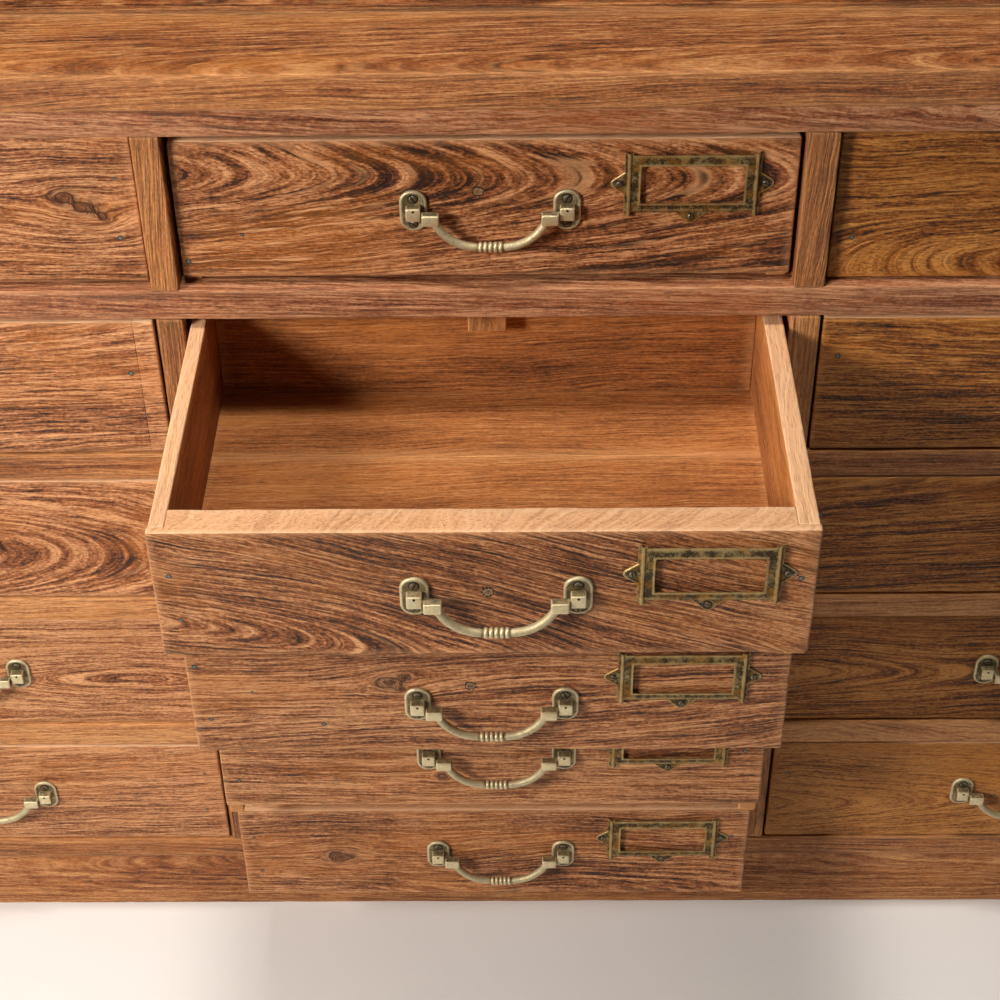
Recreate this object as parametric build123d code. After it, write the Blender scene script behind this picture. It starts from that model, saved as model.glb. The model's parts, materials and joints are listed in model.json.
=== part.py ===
"""Apothecary cabinet: fifteen drawers, three columns by five rows, in a teak carcass.

Millimetres. +Z is up and the drawer fronts face -Y. The origin is on the floor, at the
middle of the carcass. The middle column stands with four of its five drawers pulled out
in steps, and each drawer carries a swinging handle on two screwed plates and a card holder.
"""
from build123d import *
from math import asin, degrees
import os

# ---- carcass -------------------------------------------------------------------------
opening_width = 397.0
opening_height = 112.5
rail_height = 22.5
frame_depth = 24.0
end_stile_width = 32.0
left_inner_stile_width = 18.0
right_inner_stile_width = 20.0
carcass_depth = 310.0
end_panel_thickness = 22.0
top_thickness = 24.0
top_overhang = 9.0
back_thickness = 10.0
bottom_thickness = 14.0
plinth_height = 78.0
plinth_thickness = 22.0
plinth_setback = 14.0
rows = 5
side_setback = 1.0
plank_edge_radius = 1.0

# ---- runners and stops ----------------------------------------------------------------
runner_reach = 14.0
runner_height = 16.0
stop_width = 26.0
stop_thickness = 10.0
stop_drop = 28.0

# ---- drawers ----------------------------------------------------------------------------
front_thickness = 22.0
front_lip = 5.4
left_side_thickness = 10.0
right_side_thickness = 13.0
drawer_length = 254.0
drawer_back_thickness = 12.0
drawer_floor_level = 24.5
drawer_floor_thickness = 8.0
groove_depth = 4.0
floor_board_count = 3
side_clearance_below = 0.5
front_edge_radius = 1.0
middle_side_gap = 2.5
middle_top_gap = 7.5
middle_bottom_gaps = (5.5, 7.0, 3.0, 14.0, 6.0)
outer_side_gap = 2.0
outer_top_gap = 1.5
outer_bottom_gap = 2.0
row_insets = (8.0, 0.0, 0.0, 2.0, 0.0)
middle_pulls = (0.0, 204.5, 155.0, 97.0, 62.0)

# ---- handles ----------------------------------------------------------------------------
middle_handle_offsets = (3.5, 7.0, 2.0, 3.5, 5.0)
middle_handle_lifts = (0.0, 0.0, -5.5, 9.5, 0.0)
outer_handle_offset = 5.5
post_spacing = 97.0
plate_width = 17.5
plate_height = 29.0
plate_thickness = 2.2
plate_bevel = 0.8
post_size = 9.5
post_reach = 10.0
post_radius = 1.0
pivot_reach = 6.0
pin_radius = 1.5
pin_clearance = 0.05
pin_grip = 7.0
bore_depth = 7.5
knuckle_width = 9.0
knuckle_depth = 9.0
knuckle_height = 5.4
knuckle_gap = 0.5
knuckle_radius = 0.8
rod_radius = 2.75
rod_drop = 22.0
rod_start_x = 36.0
rod_reach = 9.8
grip_half_length = 8.0
ring_count = 5
ring_radius = 3.5
ring_width = 2.2
ring_edge_radius = 0.7
plate_screw_radius = 2.6
plate_screw_offset = 8.6
screw_head_height = 0.9
slot_width = 0.7

# ---- card holders -----------------------------------------------------------------------
middle_holder_offsets = (130.0, 132.5, 126.5, 127.0, 130.0)
middle_holder_drops = (31.5, 32.5, 32.5, 25.5, 32.0)
outer_holder_offset = 132.0
outer_holder_drop = 33.0
holder_width = 85.0
holder_height = 41.5
window_width = 65.0
window_height = 27.0
window_corner = 2.0
holder_rise = 3.0
sheet_thickness = 1.0
roll_width = 5.0
roll_rise = 0.6
roll_radius = 1.6
roll_overrun = 1.5
ear_reach = 8.5
ear_half_width = 9.0
bottom_ear_half_width = 12.0
holder_screw_radius = 2.0

# ---- worked out from the above ----------------------------------------------------------
row_pitch = opening_height + rail_height
face_height = rows * opening_height + (rows + 1) * rail_height
face_top = plinth_height + face_height
front_y = -carcass_depth / 2
back_y = carcass_depth / 2
rail_back_y = front_y + frame_depth
inner_back_y = back_y - back_thickness
middle_left = -opening_width / 2
middle_right = opening_width / 2
left_column_right = middle_left - left_inner_stile_width
left_column_left = left_column_right - opening_width
right_column_left = middle_right + right_inner_stile_width
right_column_right = right_column_left + opening_width
carcass_left = left_column_left - end_stile_width
carcass_right = right_column_right + end_stile_width
columns = {
    "left": (left_column_left, left_column_right),
    "middle": (middle_left, middle_right),
    "right": (right_column_left, right_column_right),
}

nodes = {}


def block(x0, x1, y0, y1, z0, z1):
    """A square-edged board between two opposite corners."""
    return Pos(x0, y0, z0) * Box(x1 - x0, y1 - y0, z1 - z0, align=(Align.MIN, Align.MIN, Align.MIN))


def eased_block(x0, x1, y0, y1, z0, z1):
    """A board whose long arrises are rubbed down."""
    board = block(x0, x1, y0, y1, z0, z1)
    longest = max(x1 - x0, y1 - y0, z1 - z0)
    long_edges = [edge for edge in board.edges() if edge.length > longest - 0.01]
    return fillet(long_edges, plank_edge_radius)


def opening_floor(row):
    """Height of the rail top that a drawer's opening stands on. Row 1 is the top row."""
    return plinth_height + rail_height + (rows - row) * row_pitch


def add(name, solids):
    """Keep one named group of separate solids."""
    nodes[name] = solids if isinstance(solids, list) else [solids]


# ---- face frame ---------------------------------------------------------------------------
def stile(x0, x1):
    """An upright, halved at its front where the long rail crosses it."""
    lap_floor = opening_floor(1) - rail_height
    upright = block(x0, x1, front_y, rail_back_y, plinth_height + rail_height, face_top - rail_height)
    lap = block(x0 - 1, x1 + 1, front_y - 1, front_y + frame_depth / 2, lap_floor, lap_floor + rail_height)
    return upright - lap


def long_rail():
    """The rail under row 1, halved at its back so that it passes over every stile."""
    low = opening_floor(1) - rail_height
    rail = block(carcass_left, carcass_right, front_y, rail_back_y, low, low + rail_height)
    crossings = (
        (carcass_left - 1, left_column_left),
        (left_column_right, middle_left),
        (middle_right, right_column_left),
        (right_column_right, carcass_right + 1),
    )
    for x0, x1 in crossings:
        rail -= block(x0, x1, front_y + frame_depth / 2, rail_back_y + 1, low - 1, low + rail_height + 1)
    return rail


def face_frame():
    add("end_stiles", [stile(carcass_left, left_column_left), stile(right_column_right, carcass_right)])
    add("inner_stiles", [stile(left_column_right, middle_left), stile(middle_right, right_column_left)])
    add("long_rail", long_rail())
    short_rails = []
    for row in (2, 3, 4):
        low = opening_floor(row) - rail_height
        for x0, x1 in columns.values():
            short_rails.append(block(x0, x1, front_y, rail_back_y, low, low + rail_height))
    add("short_rails", short_rails)
    add("top_rail", block(carcass_left, carcass_right, front_y, rail_back_y, face_top - rail_height, face_top))
    add(
        "bottom_rail",
        block(carcass_left, carcass_right, front_y, rail_back_y, plinth_height, plinth_height + rail_height),
    )


# ---- shell --------------------------------------------------------------------------------
def planks_across_depth(x0, x1, y0, y1, z0, z1, count):
    """Planks that run left to right, side by side from front to back."""
    width = (y1 - y0) / count
    return [eased_block(x0, x1, y0 + i * width, y0 + (i + 1) * width, z0, z1) for i in range(count)]


def planks_up(x0, x1, y0, y1, z0, z1, count):
    """Planks that stand upright, side by side from front to back."""
    width = (y1 - y0) / count
    return [eased_block(x0, x1, y0 + i * width, y0 + (i + 1) * width, z0, z1) for i in range(count)]


def shell():
    add("left_end_panel", planks_up(carcass_left, carcass_left + end_panel_thickness,
                                    rail_back_y, back_y, plinth_height, face_top, 3))
    add("right_end_panel", planks_up(carcass_right - end_panel_thickness, carcass_right,
                                     rail_back_y, back_y, plinth_height, face_top, 3))
    add("top_boards", planks_across_depth(carcass_left - top_overhang, carcass_right + top_overhang,
                                          front_y - top_overhang, back_y, face_top,
                                          face_top + top_thickness, 4))
    inner_left = carcass_left + end_panel_thickness
    inner_right = carcass_right - end_panel_thickness
    add("bottom_boards", planks_across_depth(inner_left, inner_right, rail_back_y, inner_back_y,
                                             plinth_height, plinth_height + bottom_thickness, 3))
    back_count = 6
    board_height = face_height / back_count
    add("back_boards", [
        eased_block(inner_left, inner_right, inner_back_y, back_y,
                    plinth_height + i * board_height, plinth_height + (i + 1) * board_height)
        for i in range(back_count)
    ])


def plinth():
    """A set-back base: four boards on edge, with a bearer across the middle."""
    x0 = carcass_left + plinth_setback
    x1 = carcass_right - plinth_setback
    y0 = front_y + plinth_setback
    y1 = back_y - plinth_setback
    half = plinth_thickness / 2
    add("plinth_frame", [
        block(x0, x1, y0, y0 + plinth_thickness, 0, plinth_height),
        block(x0, x1, y1 - plinth_thickness, y1, 0, plinth_height),
        block(x0, x0 + plinth_thickness, y0 + plinth_thickness, y1 - plinth_thickness, 0, plinth_height),
        block(x1 - plinth_thickness, x1, y0 + plinth_thickness, y1 - plinth_thickness, 0, plinth_height),
        block(-half, half, y0 + plinth_thickness, y1 - plinth_thickness, 0, plinth_height),
    ])


# ---- inside the carcass -------------------------------------------------------------------
def inside():
    low = plinth_height + bottom_thickness
    add("partitions", [
        block(left_column_right, middle_left, rail_back_y, inner_back_y, low, face_top),
        block(middle_right, right_column_left, rail_back_y, inner_back_y, low, face_top),
    ])
    runners = []
    stops = []
    for row in range(1, rows + 1):
        floor = opening_floor(row)
        for name, (x0, x1) in columns.items():
            wall_left = carcass_left + end_panel_thickness if name == "left" else x0
            wall_right = carcass_right - end_panel_thickness if name == "right" else x1
            runner_low = max(floor - runner_height, low)
            runners.append(block(wall_left, x0 + runner_reach, rail_back_y, inner_back_y, runner_low, floor))
            runners.append(block(x1 - runner_reach, wall_right, rail_back_y, inner_back_y, runner_low, floor))
            stops.append(stop_block(row, (x0 + x1) / 2))
    add("drawer_runners", runners)
    add("drawer_stops", stops)


def stop_block(row, centre_x):
    """A block behind the rail above an opening, which catches the back of the drawer."""
    ceiling = opening_floor(row) + opening_height
    y0 = rail_back_y + stop_setback(row)
    block_back = y0 + stop_thickness
    half = stop_width / 2
    hanging = block(centre_x - half, centre_x + half, y0, block_back, ceiling - stop_drop, ceiling)
    fixing = block(centre_x - half, centre_x + half, rail_back_y, block_back, ceiling, ceiling + rail_height - 2)
    return hanging + fixing


def stop_setback(row):
    """How far behind the rail the stop stands, so that an inset front clears it."""
    return max(0.0, row_insets[row - 1] + front_thickness - frame_depth + 1.0)


# ---- drawers ------------------------------------------------------------------------------
class Drawer:
    """One drawer: where its front face stands, and how its front fills the opening."""

    def __init__(self, row, column):
        x0, x1 = columns[column]
        middle = column == "middle"
        side_gap = middle_side_gap if middle else outer_side_gap
        self.row = row
        self.column = column
        self.name = f"drawer_{row}_{column}"
        self.centre_x = (x0 + x1) / 2
        self.left = x0 + side_gap
        self.right = x1 - side_gap
        self.floor = opening_floor(row)
        self.low = self.floor + (middle_bottom_gaps[row - 1] if middle else outer_bottom_gap)
        self.top = self.floor + opening_height - (middle_top_gap if middle else outer_top_gap)
        self.pull = middle_pulls[row - 1] if middle else 0.0
        self.face = front_y + row_insets[row - 1] - self.pull
        self.handle_x = self.centre_x + (middle_handle_offsets[row - 1] if middle else outer_handle_offset)
        self.handle_z = (self.low + self.top) / 2 + (middle_handle_lifts[row - 1] if middle else 0.0)
        holder_side = -1 if column == "left" else 1
        holder_offset = middle_holder_offsets[row - 1] if middle else outer_holder_offset
        self.holder_x = self.centre_x + holder_side * holder_offset
        self.holder_z = self.top - (middle_holder_drops[row - 1] if middle else outer_holder_drop)


def drawer_box(d):
    """Front, two sides, back and floor boards. The floor sits in a groove all round."""
    side_left = d.left + side_setback
    side_right = d.right - side_setback
    inner_left = side_left + left_side_thickness
    inner_right = side_right - right_side_thickness
    rear = d.face + drawer_length
    back_front = rear - drawer_back_thickness
    side_low = d.floor + side_clearance_below
    floor_low = d.floor + drawer_floor_level - drawer_floor_thickness
    floor_top = d.floor + drawer_floor_level

    front = block(d.left, d.right, d.face, d.face + front_thickness, d.low, d.top)
    lip_back = d.face + front_lip
    lip_y1 = d.face + front_thickness + 1
    front -= block(d.left - 1, inner_left, lip_back, lip_y1, d.low - 1, d.top + 1)
    front -= block(inner_right, d.right + 1, lip_back, lip_y1, d.low - 1, d.top + 1)
    face_edges = front.faces().sort_by(Axis.Y)[0].edges()
    front = fillet(face_edges, front_edge_radius)

    left = block(side_left, inner_left, lip_back, rear, side_low, d.top)
    right = block(inner_right, side_right, lip_back, rear, side_low, d.top)
    back = block(inner_left, inner_right, back_front, rear, side_low, d.top)

    tray = block(inner_left - groove_depth, inner_right + groove_depth,
                 d.face + front_thickness - groove_depth, back_front + groove_depth,
                 floor_low, floor_top)
    front -= tray
    left -= tray
    right -= tray
    back -= tray

    y0 = d.face + front_thickness - groove_depth
    y1 = back_front + groove_depth
    width = (y1 - y0) / floor_board_count
    floor = [
        block(inner_left - groove_depth, inner_right + groove_depth,
              y0 + i * width, y0 + (i + 1) * width, floor_low, floor_top)
        for i in range(floor_board_count)
    ]
    add(f"{d.name}_box", [front, left, right, back] + floor)


# ---- brass pieces, each made once about its own centre ---------------------------------------
def screw_head(radius):
    """A slotted domed head that stands on the plane Y = 0 and looks towards -Y."""
    head = Cylinder(radius, screw_head_height, align=(Align.CENTER, Align.CENTER, Align.MIN))
    head = fillet(head.edges().sort_by(Axis.Z)[-1], screw_head_height * 0.6)
    slot = Pos(0, 0, screw_head_height) * Box(2 * radius + 1, slot_width, screw_head_height)
    return Rot(90, 0, 0) * (head - slot)


def handle_plate():
    """An oblong plate with a square post, bored across for the pivot pin."""
    plate = extrude(SlotOverall(plate_height, plate_width, rotation=90), plate_thickness)
    plate = chamfer(plate.faces().sort_by(Axis.Z)[-1].edges(), plate_bevel)
    post = Pos(0, 0, post_reach / 2) * Box(post_size, post_size, post_reach)
    plate += fillet(post.edges().filter_by(Axis.Z), post_radius)
    plate -= Pos(0, 0, pivot_reach) * Rot(0, 90, 0) * Cylinder(pin_radius, post_size + 2)
    return Rot(90, 0, 0) * plate


def pivot_pin(side):
    """A pin through one post that reaches into the handle's knuckle."""
    outer = side * post_size / 2
    inner = -side * (post_size / 2 + pin_grip)
    pin = Cylinder(pin_radius, abs(inner - outer))
    return Pos((inner + outer) / 2, -pivot_reach, 0) * Rot(0, 90, 0) * pin


def ear(half_width, reach):
    """A pointed tab with a blunt tip, standing on the X axis and pointing to +Y."""
    tip = 2.0
    outline = Polyline((-half_width, -1), (-tip, reach), (tip, reach), (half_width, -1), close=True)
    return extrude(make_face(outline), sheet_thickness, dir=(0, 0, 1))


def card_holder():
    """A pressed card holder: a raised window frame between two rolled sides, with three ears."""
    half_width = holder_width / 2
    half_height = holder_height / 2
    on_face = (Align.CENTER, Align.CENTER, Align.MIN)
    holder = Pos(0, 0, holder_rise - sheet_thickness) * Box(
        holder_width - roll_width, holder_height, sheet_thickness, align=on_face)
    window = Box(window_width, window_height, 3 * holder_rise)
    holder -= fillet(window.edges().filter_by(Axis.Z), window_corner)
    roll = Box(roll_width, holder_height + 2 * roll_overrun, holder_rise + roll_rise, align=on_face)
    roll = fillet(roll.edges().filter_by(Axis.Y).group_by(Axis.Z)[-1], roll_radius)
    for side in (-1, 1):
        holder += Pos(side * (half_width - roll_width / 2), 0, 0) * roll
        holder += Pos(side * half_width, 0, 0) * Rot(0, 0, -90 * side) * ear(ear_half_width, ear_reach)
    holder += Pos(0, (sheet_thickness - holder_height) / 2, 0) * Box(
        holder_width - 2 * roll_width, sheet_thickness, holder_rise, align=on_face)
    holder += Pos(0, -half_height, 0) * Rot(0, 0, 180) * ear(bottom_ear_half_width, ear_reach)
    return Rot(90, 0, 0) * holder


def swinging_handle():
    """Two square knuckles, a drooping round rod between them and a ringed grip at its middle."""
    inner_face = post_spacing / 2 - post_size / 2 - knuckle_gap
    knuckle_back = -pivot_reach + knuckle_height / 2
    half_height = knuckle_height / 2
    span = rod_start_x - grip_half_length
    bend_radius = (span ** 2 + rod_drop ** 2) / (2 * rod_drop)
    bend_angle = degrees(asin(span / bend_radius))
    grip = Rot(0, 90, 0) * Cylinder(rod_radius, 2 * grip_half_length)
    handle = Pos(0, -rod_reach, -rod_drop) * grip
    for side in (-1, 1):
        section = Plane.YZ * Pos(-rod_reach, -rod_drop) * Circle(rod_radius)
        bend_axis = Axis((0, -rod_reach, bend_radius - rod_drop), (0, -side, 0))
        handle += Pos(side * grip_half_length, 0, 0) * revolve(section, bend_axis, bend_angle)
        x0, x1 = sorted((side * (inner_face - knuckle_width), side * inner_face))
        knuckle = block(x0, x1, knuckle_back - knuckle_depth, knuckle_back, -half_height, half_height)
        handle += fillet(knuckle.edges(), knuckle_radius)
    for side in (-1, 1):
        bore = Rot(0, 90, 0) * Cylinder(pin_radius + pin_clearance, 2 * bore_depth)
        handle -= Pos(side * inner_face, -pivot_reach, 0) * bore
    pitch = 2 * grip_half_length / ring_count
    ring = Rot(0, 90, 0) * Cylinder(ring_radius, ring_width)
    ring = fillet(ring.edges(), ring_edge_radius)
    for i in range(ring_count):
        handle += Pos((i + 0.5) * pitch - grip_half_length, -rod_reach, -rod_drop) * ring
    return handle


plate_screw = screw_head(plate_screw_radius)
holder_screw = screw_head(holder_screw_radius)
plate_shape = handle_plate()
pin_shapes = {side: pivot_pin(side) for side in (-1, 1)}
holder_shape = card_holder()
handle_shape = swinging_handle()


def drawer_fittings(d):
    """Handle plates, pivot pins, card holder and screw heads of one drawer."""
    pieces = []
    plate_face = d.face - plate_thickness
    ear_face = d.face - sheet_thickness
    ear_middle = ear_reach / 2 - 0.5
    for side in (-1, 1):
        x = d.handle_x + side * post_spacing / 2
        pieces.append(Pos(x, d.face, d.handle_z) * plate_shape)
        pieces.append(Pos(x, d.face, d.handle_z) * pin_shapes[side])
        for level in (-1, 1):
            slot_angle = 37 * d.row + 61 * side + 23 * level
            z = d.handle_z + level * plate_screw_offset
            pieces.append(Pos(x, plate_face, z) * Rot(0, slot_angle, 0) * plate_screw)
        ear_x = d.holder_x + side * (holder_width / 2 + ear_middle)
        slot_angle = 50 * side + 17 * d.row
        pieces.append(Pos(ear_x, ear_face, d.holder_z) * Rot(0, slot_angle, 0) * holder_screw)
    ear_z = d.holder_z - holder_height / 2 - ear_middle
    pieces.append(Pos(d.holder_x, ear_face, ear_z) * Rot(0, 29 * d.row, 0) * holder_screw)
    pieces.append(Pos(d.holder_x, d.face, d.holder_z) * holder_shape)
    add(f"{d.name}_fittings", pieces)


def drawer_handle(d):
    add(f"{d.name}_handle", Pos(d.handle_x, d.face, d.handle_z) * handle_shape)


def write_nodes():
    os.makedirs("parts", exist_ok=True)
    for name, solids in nodes.items():
        shape = solids[0] if len(solids) == 1 else Compound(children=solids)
        export_step(shape, f"parts/{name}.step")


shell()
plinth()
face_frame()
inside()
for column in columns:
    for row in range(1, rows + 1):
        drawer = Drawer(row, column)
        drawer_box(drawer)
        drawer_fittings(drawer)
        drawer_handle(drawer)
write_nodes()
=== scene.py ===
"""Looks for the apothecary cabinet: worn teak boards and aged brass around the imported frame."""
import json
import math

import bpy
import numpy as np
from mathutils import Matrix, Vector, noise
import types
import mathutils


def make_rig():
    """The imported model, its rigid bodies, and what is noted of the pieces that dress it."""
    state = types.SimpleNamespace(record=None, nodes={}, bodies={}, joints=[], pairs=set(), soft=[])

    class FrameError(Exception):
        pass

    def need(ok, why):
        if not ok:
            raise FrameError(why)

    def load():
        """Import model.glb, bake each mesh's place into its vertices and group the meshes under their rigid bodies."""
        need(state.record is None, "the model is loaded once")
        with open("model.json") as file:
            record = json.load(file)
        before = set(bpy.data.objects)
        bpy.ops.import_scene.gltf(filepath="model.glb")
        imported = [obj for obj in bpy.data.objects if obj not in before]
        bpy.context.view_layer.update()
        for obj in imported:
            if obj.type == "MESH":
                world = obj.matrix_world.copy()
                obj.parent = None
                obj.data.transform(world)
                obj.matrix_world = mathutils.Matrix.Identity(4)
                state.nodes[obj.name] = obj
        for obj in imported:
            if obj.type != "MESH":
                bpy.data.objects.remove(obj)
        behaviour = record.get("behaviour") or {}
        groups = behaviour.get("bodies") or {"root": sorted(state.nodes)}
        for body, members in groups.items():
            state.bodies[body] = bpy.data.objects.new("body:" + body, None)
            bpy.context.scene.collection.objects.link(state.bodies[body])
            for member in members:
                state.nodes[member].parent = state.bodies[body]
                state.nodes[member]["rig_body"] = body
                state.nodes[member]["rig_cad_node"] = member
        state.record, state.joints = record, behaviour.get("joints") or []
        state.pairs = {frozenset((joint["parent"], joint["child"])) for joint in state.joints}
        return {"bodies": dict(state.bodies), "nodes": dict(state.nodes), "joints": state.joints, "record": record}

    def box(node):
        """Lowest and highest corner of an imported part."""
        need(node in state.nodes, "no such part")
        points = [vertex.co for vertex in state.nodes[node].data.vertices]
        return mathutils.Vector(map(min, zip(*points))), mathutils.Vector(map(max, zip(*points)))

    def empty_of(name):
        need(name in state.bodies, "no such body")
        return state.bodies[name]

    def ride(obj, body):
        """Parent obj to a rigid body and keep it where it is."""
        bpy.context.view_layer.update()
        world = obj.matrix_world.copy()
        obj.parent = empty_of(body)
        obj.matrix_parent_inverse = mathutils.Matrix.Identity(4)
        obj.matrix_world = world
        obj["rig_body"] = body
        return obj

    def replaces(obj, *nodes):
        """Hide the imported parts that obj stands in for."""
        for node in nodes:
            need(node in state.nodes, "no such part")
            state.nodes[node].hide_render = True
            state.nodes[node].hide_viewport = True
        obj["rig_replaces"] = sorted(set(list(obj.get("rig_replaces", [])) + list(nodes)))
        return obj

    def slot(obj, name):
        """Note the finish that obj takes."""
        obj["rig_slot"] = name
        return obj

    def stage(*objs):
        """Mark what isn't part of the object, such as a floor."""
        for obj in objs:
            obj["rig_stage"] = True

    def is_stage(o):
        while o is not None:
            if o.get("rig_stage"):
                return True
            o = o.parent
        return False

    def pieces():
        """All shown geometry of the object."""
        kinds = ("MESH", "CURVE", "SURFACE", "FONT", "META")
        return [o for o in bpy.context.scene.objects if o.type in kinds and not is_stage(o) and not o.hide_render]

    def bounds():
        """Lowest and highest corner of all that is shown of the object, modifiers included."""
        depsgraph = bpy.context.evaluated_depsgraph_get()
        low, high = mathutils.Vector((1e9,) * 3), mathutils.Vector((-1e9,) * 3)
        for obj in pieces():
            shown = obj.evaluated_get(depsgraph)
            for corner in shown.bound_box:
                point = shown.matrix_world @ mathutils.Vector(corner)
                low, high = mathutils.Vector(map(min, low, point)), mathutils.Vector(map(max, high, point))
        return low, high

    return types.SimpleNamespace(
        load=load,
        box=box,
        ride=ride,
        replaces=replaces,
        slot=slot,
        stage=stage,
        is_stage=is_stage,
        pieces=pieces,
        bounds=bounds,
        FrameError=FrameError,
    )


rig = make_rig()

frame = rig.load()
cad_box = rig.bounds()
MM = 0.001


# ---- shader helpers --------------------------------------------------------------------
class Nodes:
    """Short ways to add nodes to one material's tree."""

    def __init__(self, material):
        material.use_nodes = True
        self.tree = material.node_tree
        self.tree.nodes.clear()

    def add(self, kind, **values):
        node = self.tree.nodes.new(kind)
        for name, value in values.items():
            setattr(node, name, value)
        return node

    def put(self, socket, value):
        if isinstance(value, bpy.types.NodeSocket):
            self.tree.links.new(value, socket)
        else:
            socket.default_value = value

    def attribute(self, name, output="Fac"):
        return self.add("ShaderNodeAttribute", attribute_name=name).outputs[output]

    def math(self, operation, a, b=0.0, c=0.0, clamp=False):
        node = self.add("ShaderNodeMath", operation=operation, use_clamp=clamp)
        for socket, value in zip(node.inputs, (a, b, c)):
            self.put(socket, value)
        return node.outputs[0]

    def scaled(self, vector, factors):
        node = self.add("ShaderNodeVectorMath", operation="MULTIPLY")
        self.put(node.inputs[0], vector)
        self.put(node.inputs[1], factors)
        return node.outputs[0]

    def noise(self, vector, scale=1.0, detail=2.0, roughness=0.5, distortion=0.0):
        node = self.add("ShaderNodeTexNoise")
        self.put(node.inputs["Vector"], vector)
        node.inputs["Scale"].default_value = scale
        node.inputs["Detail"].default_value = detail
        node.inputs["Roughness"].default_value = roughness
        node.inputs["Distortion"].default_value = distortion
        return node.outputs["Fac"]

    def ramp(self, value, stops, smooth=False):
        """stops: (place, colour or grey) pairs."""
        node = self.add("ShaderNodeValToRGB")
        ramp = node.color_ramp
        ramp.interpolation = "EASE" if smooth else "LINEAR"
        while len(ramp.elements) < len(stops):
            ramp.elements.new(0.5)
        for element, (place, colour) in zip(ramp.elements, stops):
            element.position = place
            if isinstance(colour, (int, float)):
                colour = (colour, colour, colour)
            element.color = (*colour, 1.0)
        self.put(node.inputs[0], value)
        return node.outputs[0]

    def mix(self, factor, a, b, blend="MIX"):
        node = self.add("ShaderNodeMix", data_type="RGBA", blend_type=blend)
        node.clamp_factor = True
        self.put(node.inputs[0], factor)
        for socket, value in ((node.inputs[6], a), (node.inputs[7], b)):
            if isinstance(value, tuple) and len(value) == 3:
                value = (*value, 1.0)
            self.put(socket, value)
        return node.outputs[2]

    def bump(self, height, distance, strength=1.0, normal=None):
        node = self.add("ShaderNodeBump")
        self.put(node.inputs["Height"], height)
        node.inputs["Distance"].default_value = distance
        node.inputs["Strength"].default_value = strength
        if normal is not None:
            self.put(node.inputs["Normal"], normal)
        return node.outputs[0]

    def surface(self, colour, roughness, normal, metallic=0.0, specular=0.5):
        shader = self.add("ShaderNodeBsdfPrincipled")
        self.put(shader.inputs["Base Color"], colour)
        self.put(shader.inputs["Roughness"], roughness)
        self.put(shader.inputs["Normal"], normal)
        self.put(shader.inputs["Metallic"], metallic)
        self.put(shader.inputs["Specular IOR Level"], specular)
        output = self.add("ShaderNodeOutputMaterial")
        self.tree.links.new(shader.outputs[0], output.inputs[0])


def linear(red, green, blue):
    """A colour given as 0 to 255 values, as the linear values that shaders take."""
    def channel(value):
        value /= 255
        return value / 12.92 if value <= 0.04045 else ((value + 0.055) / 1.055) ** 2.4
    return (channel(red), channel(green), channel(blue))


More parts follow.
